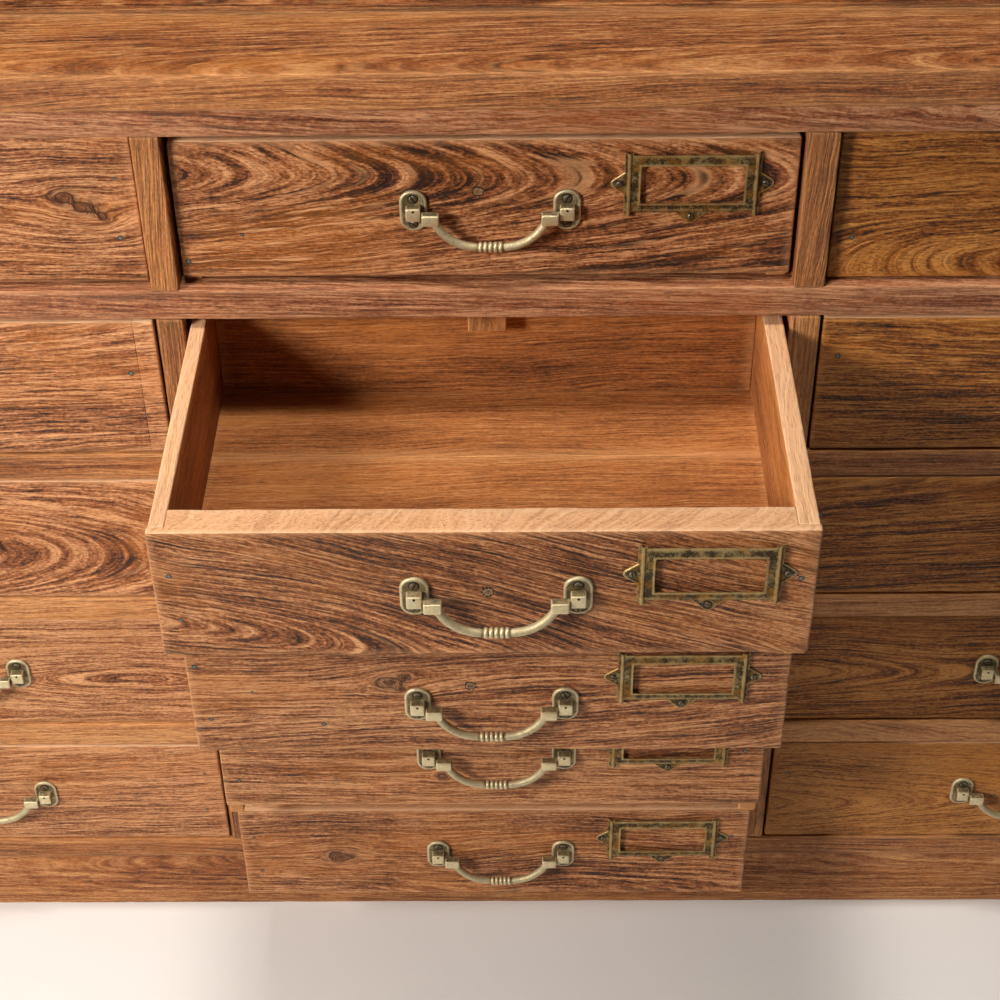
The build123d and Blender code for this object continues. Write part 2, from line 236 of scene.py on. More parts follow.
# ---- teak --------------------------------------------------------------------------------
def teak(name, dark, mid, light, honey, rings=420.0, contrast=1.0, relief=0.0008, roughness=0.6):
    """Teak whose grain follows the board's own grain, tone, seed, edge and knot attributes.

    grain is the place in the log, in metres: X along the fibre, Y and Z from the pith. Every line is
    drawn in the distance from the pith, so that fine and broad lines all follow the growth rings."""
    material = bpy.data.materials.new(name)
    n = Nodes(material)
    grain = n.attribute("grain", "Vector")
    seed = n.attribute("seed")
    tone = n.attribute("tone")
    edge = n.attribute("edge")
    knot = n.attribute("knot")
    split = n.add("ShaderNodeSeparateXYZ")
    n.put(split.inputs[0], grain)
    along = n.math("ADD", split.outputs[0], n.math("MULTIPLY", seed, 3.7))

    def in_log(x, y, z):
        place = n.add("ShaderNodeCombineXYZ")
        for socket, value in zip(place.inputs, (x, y, z)):
            n.put(socket, value)
        return place.outputs[0]

    # distance from the pith, wandering along the board
    place = in_log(along, split.outputs[1], split.outputs[2])
    sway = n.math("SUBTRACT", n.noise(n.scaled(place, (6, 13, 13)), detail=1, roughness=0.4), 0.5)
    waver = n.math("SUBTRACT", n.noise(n.scaled(place, (34, 60, 60)), detail=2, roughness=0.6), 0.5)
    across = n.math("ADD", split.outputs[1], n.math("MULTIPLY", sway, 0.022))
    across = n.math("ADD", across, n.math("MULTIPLY", waver, 0.0035))
    deep = n.math("SUBTRACT", split.outputs[2], n.math("MULTIPLY", sway, 0.012))
    radius = n.math("SQRT", n.math("ADD", n.math("POWER", across, 2.0), n.math("POWER", deep, 2.0)))
    knot = n.math("ADD", knot, n.math("MULTIPLY", waver, 2.2))
    in_knot = n.math("LESS_THAN", knot, 1.0)
    knot_radius = n.math("MULTIPLY", n.math("ADD", knot, n.math("MULTIPLY", sway, 0.8)), 0.012)
    radius = n.math("ADD", n.math("MULTIPLY", radius, n.math("SUBTRACT", 1.0, in_knot)),
                    n.math("MULTIPLY", knot_radius, in_knot))

    # broad streaks, fibre lines and hairlines in that distance; pores as short dashes
    streak = n.noise(in_log(n.math("MULTIPLY", along, 5.0), n.math("MULTIPLY", radius, 110.0), seed),
                     detail=2, roughness=0.5)
    fibre = n.noise(in_log(n.math("MULTIPLY", along, 9.0), n.math("MULTIPLY", radius, 520.0), seed),
                    detail=4, roughness=0.7)
    hair = n.noise(in_log(n.math("MULTIPLY", along, 38.0), n.math("MULTIPLY", radius, 880.0), seed),
                   detail=2, roughness=0.7)
    ridge = n.noise(in_log(n.math("MULTIPLY", along, 30.0), n.math("MULTIPLY", radius, 620.0),
                           n.math("ADD", seed, 5.0)), detail=2, roughness=0.6)
    grit = n.noise(n.scaled(place, (330, 640, 640)), detail=2, roughness=0.7)
    pores = n.noise(n.scaled(place, (110, 1500, 1500)), detail=1)
    pore_mask = n.ramp(pores, ((0.58, 0.0), (0.66, 1.0)))
    patch = n.noise(n.scaled(place, (6, 20, 20)), detail=3, roughness=0.6)
    ring = n.math("FRACT", n.math("ADD", n.math("MULTIPLY", radius, rings), n.math("MULTIPLY", streak, 2.2)))

    # growth rings: partly latewood and rubbed crests, partly painted light on the ring relief: a painted highlight on
    # each crest and painted shade at the foot of its drop
    ring_tone_and_painted_relief = n.ramp(ring, ((0.0, 0.1), (0.12, 0.35), (0.5, 0.5), (0.84, 0.65), (0.94, 1.0), (1.0, 0.5)))
    shade = n.math("MULTIPLY", n.math("SUBTRACT", ring_tone_and_painted_relief, 0.5), 0.24 * contrast)
    shade = n.math("ADD", shade, n.math("MULTIPLY", n.math("SUBTRACT", streak, 0.5), 0.8 * contrast))
    shade = n.math("ADD", shade, n.math("MULTIPLY", n.math("SUBTRACT", fibre, 0.5), 2.6 * contrast))
    shade = n.math("ADD", shade, n.math("MULTIPLY", n.math("SUBTRACT", hair, 0.5), 1.8 * contrast))
    shade = n.math("ADD", shade, n.math("MULTIPLY", n.math("SUBTRACT", grit, 0.5), 1.3 * contrast))
    shade = n.math("ADD", shade, n.math("MULTIPLY", n.math("SUBTRACT", patch, 0.5), 0.45))
    shade = n.math("ADD", shade, tone)
    colour = n.ramp(shade, ((0.05, dark), (0.45, mid), (1.0, light)))
    warmth = n.ramp(patch, ((0.50, 0.0), (0.68, 0.7)))
    colour = n.mix(warmth, colour, n.mix(0.6, colour, honey))
    colour = n.mix(n.math("MULTIPLY", pore_mask, 0.55), colour, n.mix(0.8, colour, dark))
    worn_here = n.ramp(n.math("ADD", patch, n.math("MULTIPLY", streak, 0.5)), ((0.66, 0.25), (0.86, 1.0)))
    ridge_mask = n.math("MULTIPLY", n.ramp(ridge, ((0.57, 0.0), (0.66, 1.0))), worn_here)
    colour = n.mix(n.math("MULTIPLY", ridge_mask, min(1.0, 0.85 * contrast)), colour, light)
    knot_edge = n.ramp(n.math("MULTIPLY", knot, 0.5),
                       ((0.0, 0.8), (0.38, 0.35), (0.49, 0.9), (0.58, 0.4), (0.95, 0.0)))
    colour = n.mix(knot_edge, colour, dark)
    rubbed = n.math("MULTIPLY", edge, n.math("ADD", 0.1, fibre), clamp=True)
    colour = n.mix(n.math("MULTIPLY", rubbed, 0.8), colour, light)

    height = n.math("ADD", n.math("MULTIPLY", n.ramp(ring, ((0.0, 0.0), (0.9, 1.0), (1.0, 0.0))), 0.3),
                    n.math("MULTIPLY", fibre, 2.0))
    height = n.math("ADD", height, n.math("MULTIPLY", streak, 1.2))
    height = n.math("ADD", height, n.math("MULTIPLY", hair, 0.5))
    height = n.math("SUBTRACT", height, n.math("MULTIPLY", pore_mask, 0.35))
    normal = n.bump(height, relief)
    rough = n.math("ADD", roughness, n.math("MULTIPLY", n.math("SUBTRACT", fibre, 0.5), 0.3))
    n.surface(colour, rough, normal, specular=0.3)
    return material


MATERIALS = {
    "front": teak("teak_front", linear(50, 26, 13), linear(147, 84, 43), linear(218, 158, 108),
                  linear(184, 108, 38)),
    "dark_front": teak("teak_dark_front", linear(42, 21, 5), linear(138, 75, 18), linear(198, 134, 66),
                       linear(176, 98, 16)),
    "raw": teak("teak_raw", linear(74, 37, 16), linear(172, 104, 52), linear(228, 168, 108),
                linear(200, 124, 54), contrast=0.42, relief=0.0003, roughness=0.66),
    # a paler copy of the teak for upward faces: painted top light
    "lit_top": teak("teak_painted_top_light", linear(150, 98, 62), linear(214, 162, 118), linear(240, 200, 160),
                 linear(220, 160, 108), contrast=0.3, relief=0.0004, roughness=0.7),
    "red_frame": teak("teak_red_frame", linear(58, 27, 14), linear(138, 74, 40), linear(204, 148, 106),
                      linear(166, 92, 40), contrast=0.8),
    "frame": teak("teak_frame", linear(64, 33, 16), linear(152, 86, 42), linear(212, 152, 96),
                  linear(188, 112, 42), contrast=0.7),
}


# ---- reading the frame -------------------------------------------------------------------
def solid_points(node):
    """The corner points of each separate solid in a CAD node, in metres.

    Faces come solid by solid, so a solid ends where every edge so far has met its pair."""
    mesh = frame["nodes"][node].data
    co = np.zeros(len(mesh.vertices) * 3)
    mesh.vertices.foreach_get("co", co)
    co = co.reshape(-1, 3)
    index = np.unique(np.round(co * 1e6).astype(np.int64), axis=0, return_inverse=True)[1].reshape(-1)
    found = []
    unpaired = set()
    members = []
    for polygon in mesh.polygons:
        corners = [index[i] for i in polygon.vertices]
        members.extend(polygon.vertices)
        for a, b in zip(corners, corners[1:] + corners[:1]):
            unpaired ^= {(min(a, b), max(a, b))}
        if not unpaired:
            found.append(co[members])
            members = []
    return found


def solids(node):
    """The (low corner, high corner) of each separate solid in a CAD node, in metres."""
    return [(points.min(0), points.max(0)) for points in solid_points(node)]


# ---- boards --------------------------------------------------------------------------------
def lines_between(stops, step, soft):
    """Grid lines along one axis: every step, and close together beside each stop."""
    lines = set()
    for a, b in zip(stops, stops[1:]):
        length = b - a
        near = [offset for offset in (0.0, 0.4 * soft, soft, 2.2 * soft) if offset < length / 2]
        for offset in near:
            lines.add(round(a + offset, 7))
            lines.add(round(b - offset, 7))
        start = a + near[-1]
        stop = b - near[-1]
        count = max(1, int((stop - start) / step))
        for i in range(count + 1):
            lines.add(round(start + (stop - start) * i / count, 7))
    return np.array(sorted(lines))


def grid_mesh(x_lines, y_lines, z_lines, filled):
    """Vertices and outward quads round the filled cells of a rectangular grid."""
    nx, ny, nz = len(x_lines) - 1, len(y_lines) - 1, len(z_lines) - 1
    centres = [(lines[1:] + lines[:-1]) / 2 for lines in (x_lines, y_lines, z_lines)]
    cells = filled(*np.meshgrid(*centres, indexing="ij"))
    padded = np.zeros((nx + 2, ny + 2, nz + 2), bool)
    padded[1:-1, 1:-1, 1:-1] = cells
    quads = []
    corner_steps = {
        0: ((0, 0, 0), (0, 1, 0), (0, 1, 1), (0, 0, 1)),
        1: ((0, 0, 0), (0, 0, 1), (1, 0, 1), (1, 0, 0)),
        2: ((0, 0, 0), (1, 0, 0), (1, 1, 0), (0, 1, 0)),
    }
    for axis in range(3):
        for side in (0, 1):
            neighbour = np.roll(padded, 1 - 2 * side, axis)
            wall = np.argwhere(padded & ~neighbour) - 1
            wall[:, axis] += side
            corners = np.array(corner_steps[axis])
            if side == 0:
                corners = corners[::-1]
            quads.append(wall[:, None, :] + corners[None, :, :])
    quads = np.concatenate(quads)
    flat = quads.reshape(-1, 3)
    code = (flat[:, 0] * (ny + 1) + flat[:, 1]) * (nz + 1) + flat[:, 2]
    used, index = np.unique(code, return_inverse=True)
    i = used // ((ny + 1) * (nz + 1))
    j = used // (nz + 1) % (ny + 1)
    k = used % (nz + 1)
    points = np.stack([x_lines[i], y_lines[j], z_lines[k]], axis=1)
    return points, index.reshape(-1, 4)


def point_noise(points, scale, seed):
    """Smooth noise from -1 to 1 at each point. scale is in cycles per metre, one per axis."""
    offset = Vector((seed * 7.31, seed * 3.17, seed * 5.71))
    return np.array([noise.noise(Vector(p * scale) + offset) for p in points])


def wood_part(points, quads, material, along, seed, tone, log, wear, knots=(), soft=0.001):
    """One board's vertices, quads and the attributes that its grain is drawn from, its edges worn.

    along is the fibre's axis. log is (across, deep, slope across, slope deep): where the pith lies
    from the board's middle, in metres, and how it drifts along the board. knots are (along, across,
    radius) from the board's middle."""
    low = points.min(0)
    high = points.max(0)
    middle = (low + high) / 2

    # distance to the board's own arrises, from the flat shape
    sizes = high - low
    to_side = np.minimum(points - low, high - points)
    order = np.sort(to_side, axis=1)
    edge_distance = order[:, 1]
    edge = np.clip(1 - edge_distance / 0.004, 0, 1)

    # round the arrises, then rub some stretches of them further
    rub = 0.5 + 0.5 * point_noise(points, np.array([45.0, 45.0, 45.0]), seed)
    radius = np.minimum(soft * (0.8 + wear * rub ** 2 * 2.2), sizes.min() * 0.45)[:, None]
    inner = np.clip(points, low + radius, high - radius)
    out = points - inner
    length = np.linalg.norm(out, axis=1, keepdims=True)
    rounded = np.where(length > radius, inner + out / np.maximum(length, 1e-9) * radius, points)

    axis = "xyz".index(along)
    others = [i for i in range(3) if i != axis]
    if sizes[others[0]] < sizes[others[1]]:
        others.reverse()
    local = points - middle
    u = local[:, axis]
    v = local[:, others[0]]
    w = local[:, others[1]]
    knot = np.full(len(points), 9.0)
    shift = np.zeros(len(points))
    for knot_u, knot_v, knot_radius in knots:
        du = (u - knot_u) * 0.62
        dv = v - knot_v
        square = du ** 2 + dv ** 2
        shift -= dv * knot_radius ** 2 * 2.2 / (square + knot_radius ** 2 * 0.8)
        knot = np.minimum(knot, np.sqrt(square) / knot_radius)
    across, deep, slope_across, slope_deep = log
    grain = np.stack([u, v + shift - across - slope_across * u, w - deep - slope_deep * u], axis=1)
    count = len(points)
    values = {"edge": edge, "knot": knot, "seed": np.full(count, seed), "tone": np.full(count, tone)}
    return {"points": rounded, "quads": quads, "grain": grain, "values": values, "material": material,
            "top": np.all(points[quads][:, :, 2] > high[2] - 1e-6, axis=1)}


def board(low, high, material, along, seed, tone=0.5, log=None, wear=1.0, knots=(), step=0.008, soft=0.001):
    """A plain rectangular board between two corners."""
    axes = [lines_between((low[i], high[i]), step, soft) for i in range(3)]
    points, quads = grid_mesh(*axes, lambda x, y, z: np.ones(x.shape, bool))
    log = log or random_log(seed)
    return wood_part(points, quads, material, along, seed, tone, log, wear, knots, soft)


def random_log(seed):
    """Where an ordinary board was cut from its log."""
    random = np.random.default_rng(int(seed * 1000) + 5)
    side = 1 if random.random() < 0.5 else -1
    return (random.uniform(-0.05, 0.05), side * random.uniform(0.02, 0.09),
            random.uniform(-0.03, 0.03), random.uniform(-0.08, 0.08))


def show(name, mesh, body, nodes=(), slot=None):
    """Make a mesh into a piece that rides on a body and stands for CAD nodes."""
    thing = bpy.data.objects.new(name, mesh)
    bpy.context.scene.collection.objects.link(thing)
    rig.ride(thing, body)
    if nodes:
        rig.replaces(thing, *nodes)
    if slot:
        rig.slot(thing, slot)
    return thing


def wooden(name, parts, body, nodes=(), slot=None):
    """Join wooden parts into one piece. A part's upward face can be of another material."""
    mesh = bpy.data.meshes.new(name)
    starts = np.cumsum([0] + [len(part["points"]) for part in parts])
    points = np.concatenate([part["points"] for part in parts])
    quads = np.concatenate([part["quads"] + start for part, start in zip(parts, starts)])
    mesh.from_pydata(points.tolist(), [], quads.tolist())
    layer = mesh.attributes.new("grain", "FLOAT_VECTOR", "POINT")
    grain = np.concatenate([part["grain"] for part in parts])
    layer.data.foreach_set("vector", grain.reshape(-1).astype(np.float32))
    for key in ("edge", "knot", "seed", "tone"):
        layer = mesh.attributes.new(key, "FLOAT", "POINT")
        numbers = np.concatenate([part["values"][key] for part in parts])
        layer.data.foreach_set("value", numbers.astype(np.float32))
    materials = []
    indices = []
    for part in parts:
        top_material = part.get("top_material", part["material"])
        for material in (part["material"], top_material):
            if material not in materials:
                materials.append(material)
        numbers = materials.index(part["material"]), materials.index(top_material)
        indices.append(np.where(part["top"], numbers[1], numbers[0]).astype(np.int32))
    for material in materials:
        mesh.materials.append(material)
    mesh.polygons.foreach_set("material_index", np.concatenate(indices))
    mesh.shade_smooth()
    mesh.update()
    return show(name, mesh, body, nodes, slot)


# ---- drawers -----------------------------------------------------------------------------------
FRONT_LOOKS = {
    # (row, column): tone, log as (across, deep, slope across, slope deep), knots
    (1, "left"): (0.55, (-0.090, 0.030, 0.03, 0.04),
                  ((0.150, 0.009, 0.0045), (0.163, 0.002, 0.0050), (0.173, -0.005, 0.0030))),
    (2, "left"): (0.48, (0.080, 0.044, 0.03, 0.05), ()),
    (3, "left"): (0.60, (-0.012, 0.045, 0.00, 0.13), ()),
    (4, "left"): (0.74, (-0.009, -0.0275, 0.00, 0.12), ()),
    (5, "left"): (0.68, (0.110, 0.040, 0.02, 0.02), ()),
    (1, "middle"): (0.39, (0.026, 0.036, 0.00, 0.11), ()),
    (2, "middle"): (0.45, (-0.0685, 0.0292, -0.25, 0.13), ()),
    (3, "middle"): (0.56, (-0.100, 0.040, 0.03, -0.03),
                    ((-0.064, 0.013, 0.0045), (-0.054, 0.018, 0.003), (-0.057, 0.008, 0.0025))),
    (4, "middle"): (0.62, (0.100, 0.050, -0.02, 0.02), ((-0.036, -0.014, 0.003),)),
    (5, "middle"): (0.48, (-0.060, 0.030, 0.02, 0.05), ((-0.12, -0.004, 0.006),)),
    (1, "right"): (0.56, (-0.050, 0.020, 0.00, -0.10), ()),
    (2, "right"): (0.48, (0.090, 0.040, -0.04, 0.03), ()),
    (3, "right"): (0.48, (0.080, 0.040, 0.05, 0.04), ()),
    (4, "right"): (0.54, (-0.005, 0.016, 0.00, 0.10), ()),
    (5, "right"): (0.82, (-0.010, 0.020, 0.02, 0.10), ()),
}
COLUMNS = ("left", "middle", "right")
ROWS = (1, 2, 3, 4, 5)
COLUMN_TONE = {"left": 0.62, "middle": 0.48, "right": 0.5}


def drawer_front(low, high, inner_left, inner_right, lip, material, seed, tone, log, knots, end_strip):
    """The front board: a thin lip across its whole width, and its full thickness between the sides.

    end_strip draws a seam and a paler strip at the right-hand end."""
    x_lines = lines_between((low[0], inner_left, inner_right, high[0]), 0.0035, 0.0008)
    y_lines = lines_between((low[1], low[1] + lip, high[1]), 0.006, 0.0008)
    z_lines = lines_between((low[2], high[2]), 0.0035, 0.0008)

    def filled(x, y, z):
        return (y < low[1] + lip) | ((x > inner_left) & (x < inner_right))

    points, quads = grid_mesh(x_lines, y_lines, z_lines, filled)
    part = wood_part(points, quads, material, "x", seed, tone, log, 1.0, knots, 0.0011)
    if end_strip:
        from_seam = points[:, 0] - inner_right
        tones = part["values"]["tone"]
        tones += np.where(from_seam > 0, 0.22, 0.0) - np.where(np.abs(from_seam) < 0.0002, 1.2, 0.0)
    return part


def build_drawer(row, column):
    """All boards of one drawer."""
    node = f"drawer_{row}_{column}_box"
    boxes = sorted(solids(node), key=lambda b: b[0][1])
    seed = 0.37 * row + 2.11 * COLUMNS.index(column)
    tone, log, knots = FRONT_LOOKS.get((row, column), (COLUMN_TONE[column], None, ()))
    log = log or random_log(seed)
    low, high = boxes[0]
    sides = [box for box in boxes[1:] if box[1][0] - box[0][0] < 0.03]
    sides.sort(key=lambda box: box[0][0])
    left, right = sides
    back = max(boxes, key=lambda box: box[0][1])
    floor = [box for box in boxes[1:] if box[1][2] - box[0][2] < 0.02]
    lip = left[0][1] - low[1]
    front_material = MATERIALS["dark_front" if column == "right" else "front"]
    raw = MATERIALS["raw"]
    straight = (0.11 + 0.02 * math.sin(9 * seed), 0.03, 0.02 * math.cos(7 * seed), 0.02)
    parts = [drawer_front(low, high, left[1][0], right[0][0], lip, front_material, seed, tone, log, knots,
                          (row, column) == (2, "left"))]
    parts.append(board(*left, raw, "y", seed + 0.11, 0.42, straight, soft=0.0008))
    parts.append(board(*right, raw, "y", seed + 0.12, 0.42, straight, soft=0.0008))
    parts.append(board(*back, raw, "x", seed + 0.13, 0.33, straight, soft=0.0008))
    for i, box in enumerate(floor):
        # the front-most floor board's high tone is painted light falling on the front of the drawer's floor
        shade = (0.90, 0.46, 0.42)[i % 3]
        parts.append(board(*box, raw, "x", seed + 0.14 + 0.01 * i, shade, straight, soft=0.0005))
    # the upward faces of the front, sides and back take the paler copy: painted top light
    for part in parts[:4]:
        part["top_material"] = MATERIALS["lit_top"]
    wooden(f"drawer_{row}_{column}_boards", parts, f"drawer_{row}_{column}", [node], "drawer_teak")


for column in COLUMNS:
    for row in ROWS:
        build_drawer(row, column)


# ---- carcass -----------------------------------------------------------------------------------
CARCASS = {
    # node: (fibre's axis, material, tone)
    "top_boards": ("x", "frame", 0.5),
    "left_end_panel": ("z", "frame", 0.5),
    "right_end_panel": ("z", "frame", 0.5),
    "back_boards": ("x", "raw", 0.3),
    "bottom_boards": ("x", "raw", 0.4),
    "end_stiles": ("z", "frame", 0.5),
    "inner_stiles": ("z", "frame", 0.5),
    "top_rail": ("x", "red_frame", 0.5),
    "long_rail": ("x", "red_frame", 0.42),
    "short_rails": ("x", "frame", 0.65),
    "bottom_rail": ("x", "frame", 0.5),
    "partitions": ("y", "raw", 0.3),
    "drawer_runners": ("y", "raw", 0.3),
    "drawer_stops": ("z", "raw", 0.2),
    "plinth_frame": (None, "frame", 0.4),
}
SHORT_RAIL_TONES = (0.80, 0.78, 0.44)    # from the lowest row up


def above_and_below(box, rail_low, rail_high):
    """The two stretches of a stile that show above and below the rail that laps over it."""
    low, high = box
    above = np.array((low[0], low[1], rail_high[2])), high
    below = low, np.array((high[0], high[1], rail_low[2]))
    return above, below


def stop_block(corners, material, seed, tone):
    """A drawer stop: where the front is inset, its hanging part stands behind its fixing."""
    low, high = corners.min(0), corners.max(0)
    front = corners[corners[:, 2] < low[2] + 1e-5, 1].min()
    fixing = corners[corners[:, 1] < front - 1e-5]
    if not len(fixing):
        return board(low, high, material, "z", seed, tone)
    ceiling = fixing[:, 2].min()
    points, quads = grid_mesh(
        lines_between((low[0], high[0]), 0.008, 0.001), lines_between((low[1], front, high[1]), 0.008, 0.001),
        lines_between((low[2], ceiling, high[2]), 0.008, 0.001), lambda x, y, z: (y > front) | (z > ceiling))
    return wood_part(points, quads, material, "z", seed, tone, random_log(seed), 1.0)


def build_carcass():
    for number, (node, (along, key, tone)) in enumerate(CARCASS.items()):
        parts = []
        boxes = solids(node)
        if node in ("end_stiles", "inner_stiles"):
            boxes = [part for box in boxes for part in above_and_below(box, *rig.box("long_rail"))]
        for i, (low, high) in enumerate(boxes):
            axis = along or ("x" if high[0] - low[0] > high[1] - low[1] else "y")
            seed = 11.0 + 0.53 * number + 0.17 * i
            shade = tone + 0.16 * math.sin(5.1 * i + number)
            if node == "short_rails":
                levels = sorted({round(box[0][2], 3) for box in boxes})
                shade = SHORT_RAIL_TONES[levels.index(round(low[2], 3))]
            if node == "drawer_stops":
                parts.append(stop_block(solid_points(node)[i], MATERIALS[key], seed, shade))
                continue
            parts.append(board(low, high, MATERIALS[key], axis, seed, shade))
        wooden(f"{node}_wood", parts, "cabinet", [node], "carcass_teak")


build_carcass()


# ---- brass -------------------------------------------------------------------------------------
def aged_brass(name, bright, dark, yellow, mottle=0.9, metallic=0.85):
    """Brass under a brown-grey patina, made bright where the rub attribute is high: rubbed wear, and painted
    highlights on crests, bevels and front faces.
    """
    middle = tuple(0.45 * a + 0.55 * b for a, b in zip(bright, dark))
    material = bpy.data.materials.new(name)
    n = Nodes(material)
    place = n.add("ShaderNodeTexCoord").outputs["Object"]
    cloud = n.noise(place, 170, 4, 0.65)
    fine = n.noise(place, 1400, 3, 0.6)
    # rub, and worn drawn from it: rubbed wear, and painted highlights on crests, bevels and front faces, with patina
    # mottling
    rub = n.attribute("rub")
    worn = n.math("ADD", n.math("MULTIPLY", rub, 0.6),
                  n.math("MULTIPLY", n.math("SUBTRACT", cloud, 0.5), 1.3 * mottle))
    worn = n.math("ADD", worn, n.math("MULTIPLY", n.math("SUBTRACT", fine, 0.5), 0.8))
    base = n.ramp(worn, ((-0.25, dark), (0.12, middle), (0.75, bright)))
    spots = n.ramp(n.noise(place, 110, 4, 0.7), ((0.48, 0.0), (0.62, 1.0)))
    base = n.mix(n.math("MULTIPLY", spots, 0.6 * mottle), base, yellow)
    pits = n.ramp(n.noise(place, 520, 2, 0.5), ((0.66, 0.0), (0.72, 1.0)))
    base = n.mix(n.math("MULTIPLY", pits, 0.6), base, dark)
    rough = n.ramp(worn, ((0.1, 0.62), (0.9, 0.30)))
    normal = n.bump(n.math("ADD", n.math("MULTIPLY", cloud, 0.7), fine), 0.00018)
    n.surface(base, rough, normal, metallic=metallic)
    return material


MATERIALS["brass"] = aged_brass(
    "handle_brass",
    linear(222, 206, 166), linear(106, 92, 64), linear(184, 158, 104), 0.55, 0.6)
MATERIALS["patina"] = aged_brass(
    "patina_brass",
    linear(196, 168, 112), linear(62, 48, 28), linear(168, 114, 30), 0.85, 0.65)
MATERIALS["screw"] = aged_brass(
    "screw_brass",
    linear(140, 126, 100), linear(52, 45, 36), linear(120, 100, 66))
# dark grime round heads and plugs, and painted shade: the rings for the screw recesses and the post's gap shadow
MATERIALS["recess"] = aged_brass(
    "recess_grime_and_painted_shade",
    linear(52, 44, 34), linear(24, 20, 16), linear(48, 38, 26), 0.9, 0.3)

MATERIALS["nail"] = aged_brass(
    "nail_steel",
    linear(120, 124, 122), linear(58, 62, 64), linear(96, 86, 72), 0.8, 0.5)
MATERIALS["filler"] = aged_brass(
    "plug_filler",
    linear(176, 140, 98), linear(92, 62, 40), linear(130, 92, 56), 1.2, 0.0)
HALF_SPACING = 48.5
PLATE = (17.5, 29.0, 8.2)
POST_HALF_WIDTH = 4.75
KNUCKLE_HALF_HEIGHT = 2.7
HOLDER = (85.0, 44.5)
HOLDER_WINDOW = (65.0, 27.0)
HOLDER_TOP = 22.25
ROD_RADIUS = 2.75
ROD_OUT = 9.8
ROD_DROP = 22.0
GRIP = 8.0
RINGS = 5


